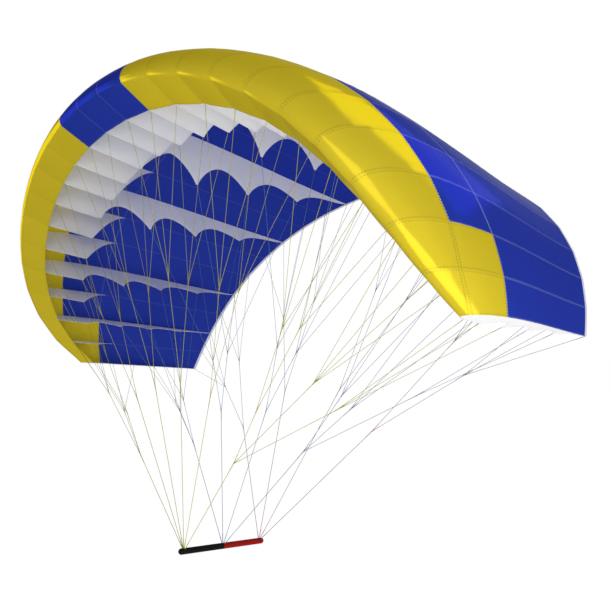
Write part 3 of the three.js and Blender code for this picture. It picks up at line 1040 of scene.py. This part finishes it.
@dataclass(frozen=True)
class Ribs:
    """The ribs: flat sheets that shape the section, with tabs for the lines and arches between."""

    plan: WingPlan
    finishes: Finishes
    # Chord share and drop share of each tab, from the nose back.
    tabs: tuple[tuple[float, float], ...] = ((0.218, 0.071), (0.392, 0.074), (0.571, 0.064), (0.766, 0.041))
    long_ribs: tuple[int, ...] = (0, 2, 4, 7, 10, 13, 16, 19, 21, 23)  # those with all the tabs
    short_end: float = 0.378
    short_taper: float = 1.4  # power that a short rib's depth runs out with
    hem_tab: float = 0.03  # where the hem's lines are held, on the way to the first tab
    lip_start: float = 0.02  # curve parameter where a rib starts
    arch_rise: float = 0.47  # how far an arch cuts into the depth
    arch_power: float = 0.8  # power of the sine that it follows
    tab_width: float = 0.01
    tail_short: float = 0.016
    tail_depth: float = 0.003
    thickness: float = 0.0008
    lip_points: int = 16
    run_steps: int = 13
    arch_steps: int = 33
    rows: int = 10
    guard: float = 0.006  # share of the depth next to each edge
    flutter: float = 0.002  # how far the free edge stands out of the rib's plane
    flutter_turn: tuple[float, float] = (2.4, 0.7)  # from rib to rib, and its start, in radians
    flutter_power: float = 1.5
    run_free: float = 0.6  # how free the edge is before the first tab
    tone_step: float = 0.37

    def build(self) -> None:
        """Build every rib."""
        for rib in range(self.plan.cells + 1):
            self._rib(rib)

    def _top(self, u: Array | float) -> Array:
        """Give the height share of the section's top at some chord shares."""
        return self.plan.section(np.sqrt(u))[1]

    def _lower(self, rib: int, chord: float) -> tuple[Array, Array, Array]:
        """Give a rib's lower edge from the nose to its end.

        The lip follows the section to the hem, a straight run leads to the first tab, and arches
        of a sine to a power join the tabs. A short rib's depth runs out behind its first tab as a
        power of the way that is left.

        Args:
            rib: Number of the rib.
            chord: Its chord.

        Returns:
            Chord shares, height shares, and how free the edge is from 0 at a tab to 1 in an arch.
        """
        plan = self.plan
        long = rib in self.long_ribs
        half = self.tab_width / 2 / chord
        tabs = self.tabs if long else self.tabs[:1]
        end = 1 - self.tail_short / chord if long else self.short_end
        lip = np.linspace(self.lip_start, math.sqrt(plan.hem_along), self.lip_points)
        runs = [(lip**2, plan.section(-lip)[1], np.zeros_like(lip))]
        t = np.linspace(0, 1, self.run_steps + 1)[1:]
        u = plan.hem_along + (tabs[0][0] - half - plan.hem_along) * t
        v = (plan.hem_drop - tabs[0][1]) * t - plan.hem_drop
        runs.append((u, v, self.run_free * np.sin(np.pi * t)))
        t = np.linspace(0, 1, self.arch_steps + 1)[1:]
        for number, (along, drop) in enumerate(tabs):
            here = along + half
            runs.append((np.array([along, here]), np.full(2, -drop), np.zeros(2)))
            depth = self._top(here) + drop
            there, goal = end, self.tail_depth / chord
            if number + 1 < len(tabs):
                after, after_drop = tabs[number + 1]
                there = after - half
                goal = self._top(there) + after_drop
            u = here + (there - here) * t
            if long:
                arch = 1 - self.arch_rise * np.sin(np.pi * t) ** self.arch_power
                cut = (depth + (goal - depth) * t) * arch
            else:
                cut = goal + (depth - goal) * (1 - t) ** self.short_taper
            runs.append((u, self._top(u) - cut, np.sin(np.pi * t)))
        return tuple(np.concatenate(parts) for parts in zip(*runs))

    def _rib(self, rib: int) -> None:
        """Build one rib as a thin closed sheet between its lower edge and the skin.

        Its points run straight up from the lower edge to the skin. The free edge leans out of the
        rib's plane by a sine of the rib's number, and the lean dies out as a power of the height.

        Args:
            rib: Number of the rib.
        """
        at = self.plan.stations(np.array([float(rib)]))
        chord = float(at.chord[0])
        u, low, free = self._lower(rib, chord)
        top = self._top(u)
        t = np.concatenate([[0.0], np.linspace(self.guard, 1 - self.guard, self.rows - 1), [1.0]])
        height = low[:, None] + (top - low)[:, None] * t
        along = np.broadcast_to(u[:, None], height.shape)
        points = at.place(along.reshape(1, -1), height.reshape(1, -1)).reshape(*height.shape, 3)
        across = np.array([at.out[0, 2], 0.0, -at.out[0, 0]])
        turn, start = self.flutter_turn
        lean = self.flutter * math.sin(turn * rib + start)
        points = points + across * (lean * free[:, None] * (1 - t) ** self.flutter_power)[..., None]
        half = across * self.thickness / 2
        values = {
            RIB_GAP: 1.0,
            SEAM_GAP: (height - low[:, None]) * chord,
            CELL_TONE: (rib * self.tone_step) % 1.0,
            SEWN: 1.0,
        }
        node = f"rib_{rib + 1:02d}"
        uv = np.stack([along, height], axis=-1) * chord
        piece = make_sheet(f"cloth_{node}", points + half, points - half, uv, values)
        settle(piece, node, Slot.WHITE, self.finishes)


@dataclass(frozen=True)
class Bar:
    """The short bar that the flyer holds: two moulded grips on one straight axis."""

    finishes: Finishes
    length: float = 0.4
    radius: float = 0.0115
    line_inset: float = 0.022  # from its ends to the outer lines
    seam: float = 0.00015  # half of the gap between its halves
    bevel: float = 0.0008
    bevel_points: int = 6
    run_points: int = 40
    end_points: int = 14
    sides: int = 48
    aside: Point = (0.0, 0.0, 1.0)  # direction that its rings start square to

    HALVES = {BarPlace.FRONT: Slot.BAR_BLACK, BarPlace.REAR: Slot.BAR_RED}

    def build(self) -> None:
        """Build both halves, each a tube with the grip's outline."""
        along, radius = self._profile()
        middle = np.zeros((1, 3))
        for place, slot in self.HALVES.items():
            node = f"bar_{place.name.lower()}"
            end = np.array([[0.0, place.value * self.length / 2, 0.0]])
            points, uv, faces = tubes(middle, end, along[None], radius[None], self.sides, self.aside)
            settle(make_mesh(f"grip_{node}", points, faces, uv), node, slot, self.finishes)
            LOG.info("%s: %.3f m long", node, along[-1] - along[0])

    def _profile(self) -> tuple[Array, Array]:
        """Give the grip's outline from the joint to the rounded end.

        A quarter circle rounds the joint, a straight run follows, and a quarter circle of the
        grip's own radius rounds the end.

        Returns:
            Distances along the bar and radii.
        """
        start, stop = self.seam + self.bevel, self.length / 2 - self.radius
        joint = np.linspace(0, np.pi / 2, self.bevel_points)
        run = np.linspace(start, stop, self.run_points)[1:-1]
        end = np.linspace(0, np.pi / 2, self.end_points)[:-1]
        along = [start - self.bevel * np.cos(joint), run, stop + self.radius * np.sin(end)]
        rounded = self.radius - self.bevel * (1 - np.sin(joint))
        radius = [rounded, np.full_like(run, self.radius), self.radius * np.cos(end)]
        return np.concatenate(along), np.concatenate(radius)


@dataclass(frozen=True)
class LineFork:
    """A knot of the right-hand side, with the lines that leave it upwards."""

    knot: Point
    # Tabs that its lines go to: row A to D, H for the hem or T for the trailing edge, and the rib.
    ends: str = ""
    forks: tuple["LineFork", ...] = ()


@dataclass(frozen=True)
class LineTree:
    """A main line from the bar to its first knot, with all that it carries."""

    name: str
    root: BarPlace
    slot: Slot
    knot: Point
    forks: tuple[LineFork, ...]


@dataclass(frozen=True)
class Lines:
    """The bridle: each main line with its knots and upper lines, on both sides."""

    plan: WingPlan
    ribs: Ribs
    bar: Bar
    finishes: Finishes
    main: float = 0.001  # radius from the bar to the first knot
    middle: float = 0.00085  # radius between two knots
    upper: float = 0.00075  # radius from a knot to a tab
    knot: float = 0.0021
    knot_length: float = 0.009
    bead: tuple[float, ...] = (0.45, 0.95, 0.8, 1.0, 0.8, 0.95, 0.45)  # radii along a knot
    sleeve: float = 0.035  # length of the sewn-back end of a line
    sleeve_fade: float = 0.004
    swell: float = 1.35  # how much thicker that end is
    tip: float = 0.7  # how thick its very end is
    tip_length: float = 0.003
    tape_hold: float = 0.5  # share of the width of the tape
    gap: float = 0.0003
    sides: int = 8
    aside: Point = (0.31, 0.95, 0.05)  # direction that no line runs in

    FRONT_OUTER_FORKS = (
        LineFork((0.668, -0.272, 0.772), "H18 H19 H20"),
        LineFork((0.667, -0.201, 0.774), "A18 A19 A20"),
    )
    TREES = (
        LineTree("front_inner", BarPlace.FRONT, Slot.LINE_YELLOW, (0.091, -0.274, 0.612), (
            LineFork((0.148, -0.376, 0.993), "H12 H13 H14"),
            LineFork((0.145, -0.29, 0.985), "A12 A13 A14"),
        )),
        LineTree("front_middle", BarPlace.FRONT, Slot.LINE_YELLOW, (0.259, -0.256, 0.566), (
            LineFork((0.428, -0.348, 0.92), "H15 H16 H17"),
            LineFork((0.425, -0.265, 0.918), "A15 A16 A17"),
        )),
        LineTree("front_outer", BarPlace.FRONT, Slot.LINE_YELLOW, (0.322, -0.194, 0.337), (
            LineFork((0.448, -0.199, 0.513), forks=FRONT_OUTER_FORKS),
            LineFork((0.694, -0.164, 0.602), "H21 A21 H22 A22"),
            LineFork((0.707, -0.075, 0.52), "H23 A23 B23"),
        )),
        LineTree("centre_inner", BarPlace.MIDDLE, Slot.LINE_BLUE, (0.151, 0.083, 0.518), (
            LineFork((0.17, 0.122, 0.773), "B13 C13 D13"),
            LineFork((0.281, 0.124, 0.743), "B16 C16 D16"),
        )),
        LineTree("centre_outer", BarPlace.MIDDLE, Slot.LINE_BLUE, (0.364, 0.092, 0.372), (
            LineFork((0.526, 0.131, 0.575), "B19 C19 D19"),
            LineFork((0.562, 0.137, 0.525), "B21 C21 D21"),
            LineFork((0.777, 0.243, 0.573), "C23 D23"),
        )),
        LineTree("rear_inner", BarPlace.REAR, Slot.LINE_RED, (0.181, 0.463, 0.617), (
            LineFork((0.206, 0.668, 1.068), "T12 T13 T14"),
            LineFork((0.406, 0.641, 0.995), "T15 T16 T17"),
        )),
        LineTree("rear_outer", BarPlace.REAR, Slot.LINE_RED, (0.419, 0.406, 0.445), (
            LineFork((0.696, 0.578, 0.792), "T18 T19 T20"),
            LineFork((0.764, 0.541, 0.657), "T21 T22 T23"),
        )),
    )

    def build(self) -> None:
        """Build every tree on both sides."""
        for tree in self.TREES:
            for side in Side:
                self._tree(tree, side)

    def _end(self, code: str) -> tuple[Array, Array]:
        """Give the point of the cloth that a line goes to, and the direction that it hangs in.

        Args:
            code: Row and rib of the tab.

        Returns:
            The point and the direction.
        """
        plan, row, rib = self.plan, code[0], np.array([float(code[1:])])
        if row == "T":
            grid = plan.cloth(rib, Band.TAPE, np.array([self.tape_hold]))
            return grid.point[0, 0] + grid.normal[0, 0] * plan.gap, -grid.normal[0, 0]
        if row == "H":
            hem, way = np.array([plan.hem_along, plan.hem_drop]), self.ribs.hem_tab
            u, drop = hem + (np.array(self.ribs.tabs[0]) - hem) * way
        else:
            u, drop = self.ribs.tabs["ABCD".index(row)]
        at = plan.stations(rib)
        return at.place(np.array([[u]]), np.array([[-drop]]))[0, 0], -at.out[0]

    def _strands(self, fork: LineFork, base: Array, radius: float) -> list[Strand]:
        """List the straight lines of a fork.

        A line to a tab ends where the rim of its slanting end is one gap away from the cloth.

        Args:
            fork: The fork.
            base: Where the line below the fork starts.
            radius: Radius of that line.

        Returns:
            Start, end and radius of each line, and whether it ends in a knot.
        """
        knot = np.array(fork.knot)
        found = [(base, knot, radius, True)]
        for code in fork.ends.split():
            point, hang = self._end(code)
            run = unit(knot - point)
            slant = min(float(run @ hang), 1.0)
            off = (self.gap + self.upper * math.sqrt(1 - slant**2)) / slant
            found.append((knot, point + run * off, self.upper, False))
        for after in fork.forks:
            found.extend(self._strands(after, knot, self.middle))
        return found

    def _tree(self, tree: LineTree, side: Side) -> None:
        """Build one tree of lines: a tube for each, thicker at its sewn-back ends, and its knots.

        Args:
            tree: The tree.
            side: Side of the wing.
        """
        root = np.array([0.0, tree.root.value * (self.bar.length / 2 - self.bar.line_inset), 0.0])
        run = unit(np.array(tree.knot) - root)
        off = (self.bar.radius + self.gap + self.main * abs(run[1])) / math.hypot(run[0], run[2])
        strands = self._strands(LineFork(tree.knot, forks=tree.forks), root + run * off, self.main)
        starts, ends, radius, knotted = (np.array(column) for column in zip(*strands))
        length = np.linalg.norm(ends - starts, axis=1)
        near = np.array([0.0, self.tip_length, self.sleeve, self.sleeve + self.sleeve_fade])
        stops = np.concatenate([np.tile(near, (len(strands), 1)), length[:, None] - near[::-1]], axis=1)
        shape = np.array([self.tip, self.swell, self.swell, 1.0])
        radii = radius[:, None] * np.concatenate([shape, shape[::-1]])
        points, uv, faces = tubes(starts, ends, stops, radii, self.sides, self.aside)
        half = unit(ends - starts)[knotted] * self.knot_length / 2
        low, high = ends[knotted] - half, ends[knotted] + half
        stops = np.tile(np.linspace(0, self.knot_length, len(self.bead)), (len(half), 1))
        radii = np.tile(self.knot * np.array(self.bead), (len(half), 1))
        knots, knot_uv, more = tubes(low, high, stops, radii, self.sides, self.aside, len(points))
        every = np.concatenate([points, knots]) * np.array([side.value, 1.0, 1.0])
        name = f"{tree.name}_{side.name.lower()}"
        facing = [face[:, :: side.value] for face in (*faces, *more)]
        piece = make_mesh(f"strands_{name}", every, facing, np.concatenate([uv, knot_uv]))
        settle(piece, f"lines_{name}", tree.slot, self.finishes)
        LOG.info("lines_%s: %d lines, %.2f m in all", name, len(strands), float(length.sum()))


@dataclass(frozen=True)
class SoftBox:
    """A soft studio light."""

    name: str
    place: Point
    width: tuple[float, float]
    power: float  # in watts
    mirrored: bool = True  # shows as a highlight
    spread: bool = True  # lights the cloth evenly besides


@dataclass(frozen=True)
class Studio:
    """Camera, plain pale floor and soft light."""

    camera: Point = (2.3412, -1.6819, 0.4948)
    yaw: float = -48.049  # from +Y towards +X, in degrees
    pitch: float = 9.107
    roll: float = 0.398
    focal: float = 704.85  # in pixels of the photograph
    frame_width: float = 610.0
    sensor: float = 36.0
    target: Point = (0.0, 0.0, 1.1)  # what the lights point at
    ambient: tuple[float, float] = (0.77, 0.25)  # straight below and straight above
    floor_height: float = -2.6
    floor_radius: float = 6.0
    floor_sides: int = 96
    floor_tones: tuple[Color, Color] = ((0.86, 0.86, 0.86, 1.0), (0.9, 0.9, 0.9, 1.0))
    floor_cloud: float = 1.5
    floor_roughness: float = 0.8

    LIGHTS = (
        SoftBox("key", (5.0, -0.5, 1.4), (2.0, 2.0), 44.0, mirrored=False),
        SoftBox("front", (2.3, -2.6, 0.9), (2.0, 2.0), 24.0),
        SoftBox("low", (2.4, -0.8, -1.2), (2.4, 2.4), 56.0),
        SoftBox("back", (1.25, 3.2, 5.3), (3.2, 4.1), 102.0),
        SoftBox("side", (-4.75, -2.15, 2.1), (3.4, 3.0), 100.0, spread=False),
    )

    def build(self) -> None:
        """Set up the camera, the lights, the surroundings and the floor."""
        self._camera()
        for light in self.LIGHTS:
            self._light(light)
        self._surroundings()
        self._floor()

    def _camera(self) -> None:
        """Set up the camera at the photograph's angle."""
        yaw, pitch, roll = (math.radians(a) for a in (self.yaw, self.pitch, self.roll))
        turn = Matrix.Rotation(-yaw, 4, "Z") @ Matrix.Rotation(math.pi / 2 + pitch, 4, "X")
        data = bpy.data.cameras.new("camera")
        data.sensor_width = self.sensor
        data.sensor_fit = "HORIZONTAL"
        data.lens = self.focal * self.sensor / self.frame_width
        camera = bpy.data.objects.new("camera", data)
        camera.matrix_world = Matrix.Translation(self.camera) @ turn @ Matrix.Rotation(roll, 4, "Z")
        bpy.context.scene.collection.objects.link(camera)
        bpy.context.scene.camera = camera

    def _light(self, box: SoftBox) -> None:
        """Set up one soft light that points at the wing.

        Args:
            box: The light.
        """
        data = bpy.data.lights.new(box.name, "AREA")
        data.shape = "RECTANGLE"
        data.size, data.size_y = box.width
        data.energy = box.power
        light = bpy.data.objects.new(box.name, data)
        light.visible_glossy = box.mirrored
        light.visible_diffuse = box.spread
        aim = (Vector(self.target) - Vector(box.place)).to_track_quat("-Z", "Y")
        light.matrix_world = Matrix.Translation(box.place) @ aim.to_matrix().to_4x4()
        bpy.context.scene.collection.objects.link(light)

    def _surroundings(self) -> None:
        """Set up white surroundings that light the wing less than they show."""
        world = bpy.data.worlds.new("studio")
        world.use_nodes = True
        nodes = NodeTree(world.node_tree)
        below, above = self.ambient
        direction = nodes.add("ShaderNodeTexCoord").outputs["Generated"]
        rise = nodes.split(direction)[2]
        light = nodes.math("MULTIPLY_ADD", rise, (above - below) / 2, (above + below) / 2)
        seen = nodes.add("ShaderNodeLightPath").outputs["Is Camera Ray"]
        strength = nodes.math("MAXIMUM", seen, light)
        white = nodes.add("ShaderNodeBackground", {"Color": (1.0, 1.0, 1.0, 1.0), "Strength": strength})
        nodes.add("ShaderNodeOutputWorld", {"Surface": white.outputs[0]})
        bpy.context.scene.world = world

    def _floor(self) -> None:
        """Lay a round pale floor under the lights."""
        angle = np.arange(self.floor_sides) * TURN / self.floor_sides
        ring = np.stack([np.cos(angle), np.sin(angle), np.zeros_like(angle)], axis=1) * self.floor_radius
        points = ring + np.array([0.0, 0.0, self.floor_height])
        floor = make_mesh("floor", points, [np.arange(self.floor_sides)[None]])
        material, nodes = new_material("pale_floor")
        cloud = nodes.add("ShaderNodeTexNoise", {"Vector": nodes.place(), "Scale": self.floor_cloud})
        color = nodes.mix(cloud.outputs[0], *self.floor_tones)
        nodes.surface({"Base Color": color, "Roughness": self.floor_roughness})
        floor.data.materials.append(material)


def main() -> None:
    """Build the studio, then the wing piece by piece."""
    logging.basicConfig(level=logging.INFO, format="%(name)s %(message)s")
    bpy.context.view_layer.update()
    Studio().build()
    plan, finishes = WingPlan(), FinishMaker().every()
    skin, ribs, bar = Skin(plan, finishes), Ribs(plan, finishes), Bar(finishes)
    for part in (skin, ribs, Lines(plan, ribs, bar, finishes), bar):
        part.build()
    bpy.context.scene.view_settings.view_transform = "Standard"
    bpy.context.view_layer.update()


if __name__ == "__main__":
    main()
